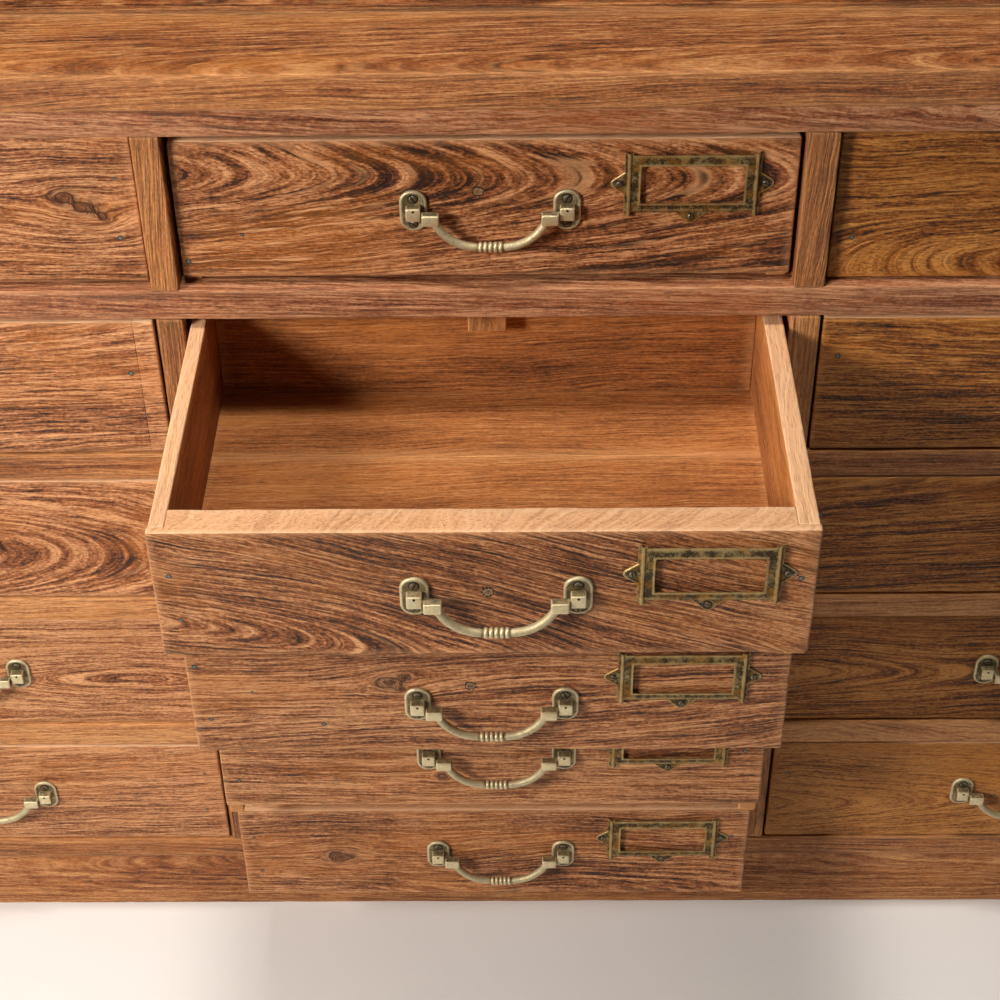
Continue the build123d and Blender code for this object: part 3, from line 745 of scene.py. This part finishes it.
class Metalwork:
    """Small parts in millimetres, lying face up: X right, Y up the drawer's front, Z out from it."""

    def __init__(self):
        self.points = []
        self.faces = []
        self.keys = []
        self.rub = []

    def add(self, points, faces, key, rub):
        start = len(self.points)
        self.points.extend([tuple(p) for p in points])
        self.faces.extend([tuple(start + i for i in face) for face in faces])
        self.keys.extend([key] * len(faces))
        self.rub.extend(list(np.broadcast_to(rub, len(points))))

    def stack(self, loops, key):
        """A closed shape from equal loops of (outline, height, brightness), bottom first; the brightness is rubbed
        wear and painted highlight.
        """
        count = len(loops[0][0])
        points = []
        rub = []
        for outline, height, wear_and_highlight in loops:
            points += [(x, y, height) for x, y in outline]
            rub += [wear_and_highlight] * count
        faces = [tuple(reversed(range(count)))]
        for level in range(len(loops) - 1):
            for i in range(count):
                j = (i + 1) % count
                base = level * count
                faces.append((base + i, base + j, base + count + j, base + count + i))
        faces.append(tuple(range((len(loops) - 1) * count, len(loops) * count)))
        self.add(points, faces, key, rub)

    def block(self, low, high, radius, key):
        """A rectangular block with rounded arrises, made bright on its arrises and front face: rubbed wear and painted
        highlight.
        """
        low = np.array(low)
        high = np.array(high)
        near = (0.0, 0.3 * radius, 0.65 * radius, radius)
        axes = [np.array(sorted([a + t for t in near] + [(a + b) / 2] + [b - t for t in near]))
                for a, b in zip(low, high)]
        points, quads = grid_mesh(*axes, lambda x, y, z: np.ones(x.shape, bool))
        inner = np.clip(points, low + radius, high - radius)
        out = points - inner
        length = np.linalg.norm(out, axis=1, keepdims=True)
        points = np.where(length > radius, inner + out / np.maximum(length, 1e-9) * radius, points)
        # bright arrises and a bright front face: rubbed wear and painted highlight
        rub = np.clip((np.abs(out) > 0.2 * radius).sum(1) - 1, 0, 1)
        rub = np.where(points[:, 2] > high[2] - 0.6 * radius, 1.0, 0.6 * rub)
        self.add(points, quads.tolist(), key, rub)

    def tube(self, path, radii, key, rub, sides=20):
        """A round rod along a path in a plane of constant Z."""
        path = np.array(path, float)
        step = np.gradient(path, axis=0)
        step /= np.linalg.norm(step, axis=1, keepdims=True)
        normal = np.stack([-step[:, 1], step[:, 0], np.zeros(len(path))], axis=1)
        other = np.cross(step, normal)
        angles = np.linspace(0, 2 * math.pi, sides, endpoint=False)
        points = []
        for i in range(len(path)):
            for angle in angles:
                points.append(path[i] + radii[i] * (math.cos(angle) * normal[i] + math.sin(angle) * other[i]))
        faces = [tuple(reversed(range(sides)))]
        for i in range(len(path) - 1):
            for j in range(sides):
                k = (j + 1) % sides
                faces.append((i * sides + j, i * sides + k, (i + 1) * sides + k, (i + 1) * sides + j))
        faces.append(tuple(range((len(path) - 1) * sides, len(path) * sides)))
        self.add(points, faces, key, np.repeat(rub, sides))

    def screw(self, x, y, base, radius, turn):
        """A slotted screw head in a flat dark ring: grime, and painted shade in the recess round the head."""
        ring = [(x + radius * 1.28 * c, y + radius * 1.28 * s) for c, s in circle(24)]
        floor = [(x + radius * c, y + radius * s) for c, s in circle(24)]
        self.stack([(ring, base - 0.3, 0), (ring, base + 0.05, 0), (floor, base + 0.12, 0)], "recess")
        half_slot = 0.16 * radius
        for side in (-1, 1):
            start = math.asin(0.16)
            arc = [start + (math.pi - 2 * start) * i / 12 for i in range(13)]
            for_layer = []
            # the head's shoulder is made brightest: rubbed wear and painted highlight
            for scale, height, wear_and_highlight in ((1.0, 0.1, 0.1), (1.0, 0.45, 0.6), (0.86, 0.75, 1.0), (0.5, 0.9, 0.5)):
                outline = []
                for angle in arc:
                    u = radius * scale * math.cos(angle)
                    v = max(radius * scale * math.sin(angle), half_slot)
                    u, v = (u * side, v * side)
                    outline.append((x + u * math.cos(turn) - v * math.sin(turn),
                                    y + u * math.sin(turn) + v * math.cos(turn)))
                for_layer.append((outline, base + height, wear_and_highlight))
            self.stack(for_layer, "screw")

    def nail(self, x, y, radius):
        """A nail head set just into the wood."""
        wide = [(x + 1.35 * radius * c, y + 1.35 * radius * s) for c, s in circle(10)]
        head = [(x + radius * c, y + radius * s) for c, s in circle(10)]
        crown = [(x + 0.6 * radius * c, y + 0.6 * radius * s) for c, s in circle(10)]
        self.stack([(wide, -0.4, 0), (wide, 0.06, 0)], "recess")
        # the crown is made brighter: rubbed wear and painted highlight
        self.stack([(head, 0.0, 0.3), (head, 0.12, 0.5), (crown, 0.24, 0.7)], "nail")

    def plug(self, x, y, radius, seed):
        """An old screw hole stopped with filler: a ragged disc in a ragged dark ring."""
        ragged = [radius * (1 + 0.16 * math.sin(3 * i + seed) + 0.1 * math.cos(5 * i + 2 * seed))
                  for i in range(18)]
        ring = [(x + 1.25 * r * c, y + 1.25 * r * s) for r, (c, s) in zip(ragged, circle(18))]
        disc = [(x + r * c, y + 0.85 * r * s) for r, (c, s) in zip(ragged[::-1], circle(18))]
        core = [(x + 0.5 * r * c, y + 0.4 * r * s) for r, (c, s) in zip(ragged, circle(18))]
        self.stack([(ring, -0.4, 0), (ring, 0.04, 0)], "recess")
        self.stack([(disc, 0.0, 0.5), (disc, 0.14, 0.7), (core, 0.09, 0.0)], "filler")

    def piece(self, name, body, node, slot, x, face_y, z):
        """The finished piece, placed on a drawer's face."""
        points = np.array(self.points) * MM
        placed = np.stack([x + points[:, 0], face_y - points[:, 2], z + points[:, 1]], axis=1)
        mesh = bpy.data.meshes.new(name)
        mesh.from_pydata(placed.tolist(), [], self.faces)
        layer = mesh.attributes.new("rub", "FLOAT", "POINT")
        layer.data.foreach_set("value", np.array(self.rub, np.float32))
        keys = sorted(set(self.keys))
        for key in keys:
            mesh.materials.append(MATERIALS[key])
        mesh.polygons.foreach_set("material_index", [keys.index(key) for key in self.keys])
        mesh.update()
        mesh.shade_smooth()
        mesh.set_sharp_from_angle(angle=math.radians(40))
        return show(name, mesh, body, [node], slot)


def circle(count):
    return [(math.cos(2 * math.pi * i / count), math.sin(2 * math.pi * i / count)) for i in range(count)]


def rounded_outline(width, height, radius, inset=0.0, steps=8):
    """A rounded rectangle, anticlockwise round the origin."""
    radius = max(radius - inset, 0.2)
    outline = []
    for quarter, (sx, sy) in enumerate(((1, 1), (-1, 1), (-1, -1), (1, -1))):
        cx = sx * (width / 2 - inset - radius)
        cy = sy * (height / 2 - inset - radius)
        for i in range(steps + 1):
            angle = math.pi / 2 * (quarter + i / steps)
            outline.append((cx + radius * math.cos(angle), cy + radius * math.sin(angle)))
    return outline


def add_plate(work, side, seed):
    """A handle plate with its screws, square post and pivot pin, round the pivot's own level."""
    x = side * HALF_SPACING
    # the rim's rounded bevel is made bright: rubbed wear and painted highlight
    rim = ((0, 0.0, 0), (0, 1.3, 0.5), (0.3, 1.85, 1.0), (0.9, 2.2, 0.8), (1.7, 2.2, 0.25), (2.1, 2.0, 0.0))
    loops = []
    for inset, height, wear_and_highlight in rim:
        outline = rounded_outline(*PLATE, inset)
        loops.append(([(x + u, v) for u, v in outline], height, wear_and_highlight))
    work.stack(loops, "brass")
    work.screw(x, 8.7, 2.0, 2.7, 2.1 * seed + side)
    work.screw(x, -9.4, 2.0, 2.4, 1.3 * seed + 2 * side)
    low, high = x - POST_HALF_WIDTH, x + POST_HALF_WIDTH
    work.block((low, -4.4, 1.8), (high, 4.9, 8.4), 1.1, "brass")
    # a small dark disc on the post: painted shadow of the gap where post and plate meet
    post_gap_shadow = [(x + 0.9 * c, 3.3 + 0.9 * s) for c, s in circle(12)]
    inner = x - side * POST_HALF_WIDTH
    work.tube([(inner + side * 1.0, 0, 6.0), (inner - side * 7.0, 0, 6.0)], (1.5, 1.5), "brass", (0, 0), 12)
    work.stack([(post_gap_shadow, 8.0, 0), (post_gap_shadow, 8.44, 0)], "recess")


def add_ear(work, x, y, turn, half_width, reach, seed):
    """A blunt triangular ear with a screw, pointing the way of turn."""
    def placed(scale):
        outline = []
        for u, v in ((-half_width, -1.2), (half_width, -1.2), (2.6, reach - 1.0), (1.3, reach), (-1.3, reach),
                     (-2.6, reach - 1.0)):
            v = (v - 2.5) * scale + 2.5
            u = u * scale
            outline.append((x + u * math.cos(turn) - v * math.sin(turn),
                            y + u * math.sin(turn) + v * math.cos(turn)))
        return outline

    # the ear's bevel is made bright: rubbed wear and painted highlight
    work.stack([(placed(1.0), 0.0, 0.2), (placed(1.0), 0.65, 0.9), (placed(0.93), 1.0, 0.9),
                (placed(0.80), 1.0, 0.0)], "patina")
    work.screw(x - (reach / 2 - 0.8) * math.sin(turn), y + (reach / 2 - 0.8) * math.cos(turn), 1.0, 2.0, seed)


def holder_height(x, y):
    """How far the pressed sheet stands off the wood, and how bright it is made at a place on the holder: rubbed wear,
    and painted highlights on the rolls' crests, the window's edge, the top lip and the bottom band.
    """
    half_width, half_height = HOLDER[0] / 2, HOLDER[1] / 2
    from_side = half_width - np.abs(x)
    from_bottom = y + half_height
    from_top = half_height - y
    from_window = np.maximum(np.abs(x) - HOLDER_WINDOW[0] / 2, np.abs(y) - HOLDER_WINDOW[1] / 2)
    side = np.interp(from_side, (0, 1.0, 1.7, 2.6, 3.6, 4.3, 5.2, 9), (0.9, 1.0, 2.7, 3.6, 3.5, 2.7, 2.7, 2.7))
    bottom = np.interp(from_bottom, (0, 2.0, 3.0, 4.0, 9), (1.0, 1.2, 2.3, 2.8, 2.7))
    top = np.interp(from_top, (0, 1.5, 2.1, 3.0, 9), (3.1, 3.1, 3.1, 2.7, 2.7))
    flat = np.minimum(bottom, top)
    height = np.where(from_side < 5.2, side, flat)
    lip = np.interp(from_window, (0, 0.8, 1.6), (0.45, 0.35, 0))
    # bright lines: rubbed wear and painted highlights on the rolls' crests, the window's edge, the top lip and the
    # bottom band
    wear_and_highlight = np.interp(from_side, (0, 0.5, 1.4, 2.4, 3.4, 4.6), (0.8, 0.2, 0.0, 1.0, 0.8, 0.0))
    wear_and_highlight = np.maximum(wear_and_highlight, np.interp(from_window, (0, 0.7, 1.5), (1.0, 0.9, 0)))
    wear_and_highlight = np.maximum(wear_and_highlight, np.interp(from_top - 1.5, (0, 1.0, 1.8), (1.0, 0.7, 0)) * (from_side > 5))
    wear_and_highlight = np.maximum(wear_and_highlight, np.interp(from_bottom, (0, 1.2, 3.0, 3.8, 4.6), (0.3, 0.2, 0.2, 0.7, 0)))
    return np.maximum(height + lip, 0.9), 0.68 * wear_and_highlight


def add_holder(work, seed):
    """The card holder: one pressed sheet round a window, between two rolled sides, and its ears."""
    half_width, half_height = HOLDER[0] / 2, HOLDER[1] / 2
    window_x, window_y = HOLDER_WINDOW[0] / 2, HOLDER_WINDOW[1] / 2
    middle_top = half_height - 1.5
    near_side = (0, 0.5, 1.0, 1.35, 1.7, 2.1, 2.6, 3.1, 3.6, 4.0, 4.3, 5.2, 6.5, 8.4, 9.2, 10)
    near_foot = (0, 1.5, 2.0, 2.5, 3.0, 3.5, 4.0, 5.5, 7.15, 7.95, 8.75)
    near_head = (0, 1.5, 2.0, 2.6, 3.0, 4.5, 7.15, 7.95, 8.75)
    x_lines = np.array(sorted([-half_width + t for t in near_side] + [half_width - t for t in near_side]
                              + list(np.linspace(-window_x, window_x, 16)[1:-1])))
    y_lines = np.array(sorted([-half_height + t for t in near_foot] + [half_height - t for t in near_head]
                              + list(np.linspace(-window_y, window_y, 8)[1:-1])))

    def filled(x, y, z):
        in_window = (np.abs(x) < window_x) & (np.abs(y) < window_y)
        between_rolls = np.abs(x) < half_width - 5.2
        over = (y > middle_top) | (y < -middle_top)
        return ~in_window & ~(between_rolls & over)

    points, quads = grid_mesh(x_lines, y_lines, np.array([0.0, 1.0]), filled)
    height, wear_and_highlight = holder_height(points[:, 0], points[:, 1])
    front = points[:, 2] > 0.5
    points[:, 2] = np.where(front, height, np.maximum(height - 1.0, 0.0))
    # soften the window's corners
    corner = np.minimum(window_x - np.abs(points[:, 0]), window_y - np.abs(points[:, 1]))
    from_corner = np.abs(np.abs(points[:, :2]) - (window_x, window_y))
    at_edge = np.all(from_corner < 0.01, axis=1)
    points[:, :2] = np.where((at_edge & (corner > -0.1))[:, None], points[:, :2] * (1 - 0.012), points[:, :2])
    work.add(points, quads.tolist(), "patina", np.where(front, wear_and_highlight, 0.2))
    add_ear(work, half_width - 0.5, 0, -math.pi / 2, 9.0, 8.9, seed)
    add_ear(work, -half_width + 0.5, 0, math.pi / 2, 9.0, 8.9, seed + 1)
    add_ear(work, 0, -middle_top, math.pi, 12.0, 8.4, seed + 2)


def add_handle(work):
    """The swinging handle round its pivot: two knuckles and a ringed rod."""
    inner = HALF_SPACING - POST_HALF_WIDTH - 0.5
    for side in (-1, 1):
        low, high = sorted((side * inner, side * (inner - 11.2)))
        work.block((low, -6.2, 5.0), (high, 1.5, 11.4), 1.2, "brass")
    start_x, start_y = 35.5, -3.6
    span = start_x - GRIP
    drop = ROD_DROP + start_y
    bend = (span ** 2 + drop ** 2) / (2 * drop)
    angle = math.asin(span / bend)
    arc = [angle * i / 18 for i in range(19)]
    left = [(-GRIP - bend * math.sin(a), bend * (1 - math.cos(a)) - ROD_DROP) for a in reversed(arc)]
    right = [(-x, y) for x, y in reversed(left)]
    grip_x = np.linspace(-GRIP, GRIP, RINGS * 8 + 1)
    path = left[:-1] + [(x, -ROD_DROP) for x in grip_x] + right[1:]
    phase = np.abs(np.sin(math.pi * (grip_x + GRIP) / (2 * GRIP) * RINGS))
    swell = phase ** 0.6
    radii = [ROD_RADIUS] * 18 + list(2.35 + 1.15 * swell) + [ROD_RADIUS] * 18
    # the rings' crests are made bright: rubbed wear and painted highlight
    rub = [0.45] * 18 + list(swell ** 2) + [0.45] * 18
    heights = [ROD_OUT - 1.4 * min(1.0, abs(x) / start_x) ** 3 for x, y in path]
    work.tube([(x, y, z) for (x, y), z in zip(path, heights)], radii, "brass", rub)


NAILS = {
    # (row, column): places on the front as fractions (across, up)
    (1, "middle"): ((0.105, 0.32), (0.012, 0.12), (0.985, 0.30)),
    (2, "middle"): ((0.027, 0.66), (0.035, 0.30), (0.23, 0.20), (0.975, 0.62)),
    (3, "middle"): ((0.015, 0.78), (0.105, 0.55), (0.030, 0.30), (0.22, 0.25), (0.96, 0.93)),
    (4, "middle"): ((0.03, 0.30), (0.21, 0.30), (0.965, 0.62)),
    (2, "left"): ((0.95, 0.62), (0.965, 0.30), (0.03, 0.70)),
    (2, "right"): ((0.26, 0.25), (0.03, 0.72), (0.97, 0.30)),
}
PLUGS = {(1, "middle"): (0.49, 0.63), (2, "middle"): (0.505, 0.52), (3, "middle"): (0.47, 0.60)}


def add_nails(work, row, column, handle_x, pivot_z):
    """Nail heads and a stopped hole on one drawer's front."""
    low, high = max(solids(f"drawer_{row}_{column}_box"), key=lambda box: -box[0][1])
    seed = row + 5 * COLUMNS.index(column)
    plain = [(0.03 + 0.004 * math.sin(3 * seed), 0.69), (0.033, 0.30 + 0.02 * math.sin(seed)),
             (0.968, 0.70 + 0.02 * math.cos(seed)), (0.965 + 0.004 * math.cos(2 * seed), 0.31)]

    def place(across, up):
        x = low[0] + across * (high[0] - low[0]) - handle_x
        z = low[2] + up * (high[2] - low[2]) - pivot_z
        return x / MM, z / MM

    for number, spot in enumerate(NAILS.get((row, column), plain)):
        work.nail(*place(*spot), 1.1 + 0.35 * math.sin(2.3 * number + seed))
    if (row, column) in PLUGS:
        work.plug(*place(*PLUGS[row, column]), 3.1, 1.7 * seed)


def build_brass(row, column):
    """The fittings and the handle of one drawer, where the CAD nodes have them."""
    name = f"drawer_{row}_{column}"
    seed = row + 5 * COLUMNS.index(column)
    low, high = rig.box(f"{name}_handle")
    handle_x = (low[0] + high[0]) / 2
    pivot_z = high[2] - KNUCKLE_HALF_HEIGHT * MM
    mesh = frame["nodes"][f"{name}_fittings"].data
    co = np.zeros(len(mesh.vertices) * 3)
    mesh.vertices.foreach_get("co", co)
    co = co.reshape(-1, 3)
    face_y = co[:, 1].max()
    holder = co[np.abs(co[:, 0] - handle_x) > 0.06]
    holder_x = (holder[:, 0].min() + holder[:, 0].max()) / 2
    holder_z = holder[:, 2].max() - HOLDER_TOP * MM

    plates = Metalwork()
    for side in (-1, 1):
        add_plate(plates, side, seed)
    sheet = Metalwork()
    add_holder(sheet, seed)
    shift = np.array([(holder_x - handle_x) / MM, (holder_z - pivot_z) / MM, 0])
    plates.add(np.array(sheet.points) + shift, sheet.faces, "patina", sheet.rub)
    plates.keys[-len(sheet.keys):] = sheet.keys
    add_nails(plates, row, column, handle_x, pivot_z)
    plates.piece(f"{name}_brass", name, f"{name}_fittings", "aged_brass", handle_x, face_y, pivot_z)
    handle = Metalwork()
    add_handle(handle)
    handle.piece(f"{name}_pull", f"{name}_handle", f"{name}_handle", "handle_brass", handle_x, face_y, pivot_z)


for column in COLUMNS:
    for row in ROWS:
        build_brass(row, column)


# ---- studio ------------------------------------------------------------------------------------
FLOOR_SIZE = 16.0
SKY_COLOUR = (1.0, 0.97, 0.93, 1.0)
SKY_STRENGTH = 0.03
LAMP_COLOUR = (1.0, 0.95, 0.89)
FILL_COLOUR = (1.0, 0.93, 0.84)
SOFTBOXES = {
    # name: place, target, size, power, colour
    "key": ((-1.2, -1.15, 1.28), (0.0, -0.2, 0.45), 0.40, 34, LAMP_COLOUR),
    "overhead": ((-0.10, -0.42, 2.3), (0.0, -0.3, 0.5), 0.30, 20, LAMP_COLOUR),
    "fill": ((1.2, -2.6, 2.2), (0.0, -0.2, 0.5), 2.0, 2.2, FILL_COLOUR),
}


def studio():
    ground = bpy.data.materials.new("pale_floor")
    n = Nodes(ground)
    place = n.add("ShaderNodeTexCoord").outputs["Object"]
    cloud = n.noise(place, 3, 3)
    normal = n.bump(n.noise(place, 500, 3), 0.0001)
    n.surface(n.mix(cloud, (0.80, 0.80, 0.79), (0.86, 0.86, 0.85)), 0.6, normal)
    mesh = bpy.data.meshes.new("floor")
    half = FLOOR_SIZE / 2
    corners = [(-half, -half, 0), (half, -half, 0), (half, half, 0), (-half, half, 0)]
    mesh.from_pydata(corners, [], [(0, 1, 2, 3)])
    mesh.materials.append(ground)
    floor = bpy.data.objects.new("floor", mesh)
    bpy.context.scene.collection.objects.link(floor)
    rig.stage(floor)

    world = bpy.data.worlds.new("studio")
    bpy.context.scene.world = world
    world.use_nodes = True
    background = world.node_tree.nodes["Background"]
    background.inputs["Color"].default_value = SKY_COLOUR
    background.inputs["Strength"].default_value = SKY_STRENGTH


def softbox(name, place, target, size, power, colour):
    light = bpy.data.lights.new(name, "AREA")
    light.size = size
    light.energy = power
    light.color = colour
    lamp = bpy.data.objects.new(name, light)
    lamp.location = place
    lamp.rotation_euler = (Vector(target) - Vector(place)).to_track_quat("-Z", "Y").to_euler()
    bpy.context.scene.collection.objects.link(lamp)


studio()
bpy.context.scene.view_settings.view_transform = "Standard"
for lamp_name, settings in SOFTBOXES.items():
    softbox(lamp_name, *settings)


# ---- camera ------------------------------------------------------------------------------------
front_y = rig.box("long_rail")[0][1]
rail_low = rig.box("long_rail")[0][2]
CAMERA_RIGHT = 0.02084
CAMERA_AHEAD = 1.06235
CAMERA_ABOVE = 0.73691
SENSOR_WIDTH = 36.0
LENS_PER_WIDTH = 1.9711
PITCH, YAW, ROLL = (math.radians(angle) for angle in (40.02, -0.73, -0.77))
forward = Vector((math.sin(YAW) * math.cos(PITCH), math.cos(YAW) * math.cos(PITCH), -math.sin(PITCH)))
level_right = Vector((math.cos(YAW), -math.sin(YAW), 0))
level_up = level_right.cross(forward)
right = math.cos(ROLL) * level_right + math.sin(ROLL) * level_up
up = -math.sin(ROLL) * level_right + math.cos(ROLL) * level_up
camera_data = bpy.data.cameras.new("camera")
camera_data.sensor_width = SENSOR_WIDTH
camera_data.lens = SENSOR_WIDTH * LENS_PER_WIDTH
camera = bpy.data.objects.new("camera", camera_data)
turn = Matrix((right, up, -forward)).transposed().to_4x4()
camera.matrix_world = Matrix.Translation((CAMERA_RIGHT, front_y - CAMERA_AHEAD, rail_low + CAMERA_ABOVE)) @ turn
bpy.context.scene.collection.objects.link(camera)
bpy.context.scene.camera = camera

size_report = {"cad": [list(corner) for corner in cad_box], "visual": [list(corner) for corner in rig.bounds()]}
with open("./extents.json", "w") as out:
    json.dump(size_report, out)
